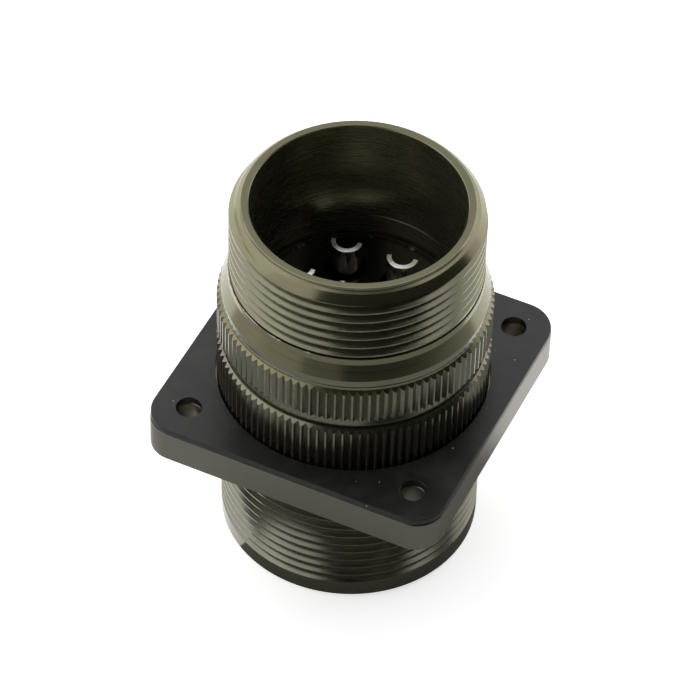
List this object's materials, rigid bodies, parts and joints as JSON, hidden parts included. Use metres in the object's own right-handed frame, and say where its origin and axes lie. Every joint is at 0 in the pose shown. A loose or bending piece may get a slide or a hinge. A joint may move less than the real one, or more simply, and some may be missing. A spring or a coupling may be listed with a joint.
{
  "type": "aviation plug connector",
  "caption": "Wall mounting circular connector receptacle with pin contacts, a square gasketed flange and a screwed-on end bell with a clamp thread.",
  "frame": {"origin": "centre of the coupling face, on the surface that the connector stands on", "axes": "+Z along the connector's axis from the coupling face to the cable end; the square flange's sides lie along X and Y"},
  "size_m": [0.0382, 0.0382, 0.0525],
  "materials": {
    "olive_aluminium": "olive drab conversion coating over turned aluminium, semi-gloss",
    "gasket_rubber": "smooth black sheet rubber",
    "insert_plastic": "glossy moulded black",
    "ring_steel": "blackened spring steel",
    "contact_metal": "silver plated copper alloy"
  },
  "bodies": {
    "receptacle": {"receptacle_shell": "olive_aluminium", "flange_gasket": "gasket_rubber", "front_insert": "insert_plastic", "rear_insert": "insert_plastic", "insert_ring": "ring_steel", "contact_a": "contact_metal", "contact_b": "contact_metal", "contact_c": "contact_metal", "contact_d": "contact_metal", "contact_e": "contact_metal", "contact_f": "contact_metal", "contact_g": "contact_metal"},
    "end_bell": {"end_bell": "olive_aluminium"}
  },
  "joints": [
    {"name": "end_bell_lift", "type": "slide", "parent": "receptacle", "child": "end_bell", "axis": [0, 0, 1], "range_m": [0, 0.02]}
  ]
}
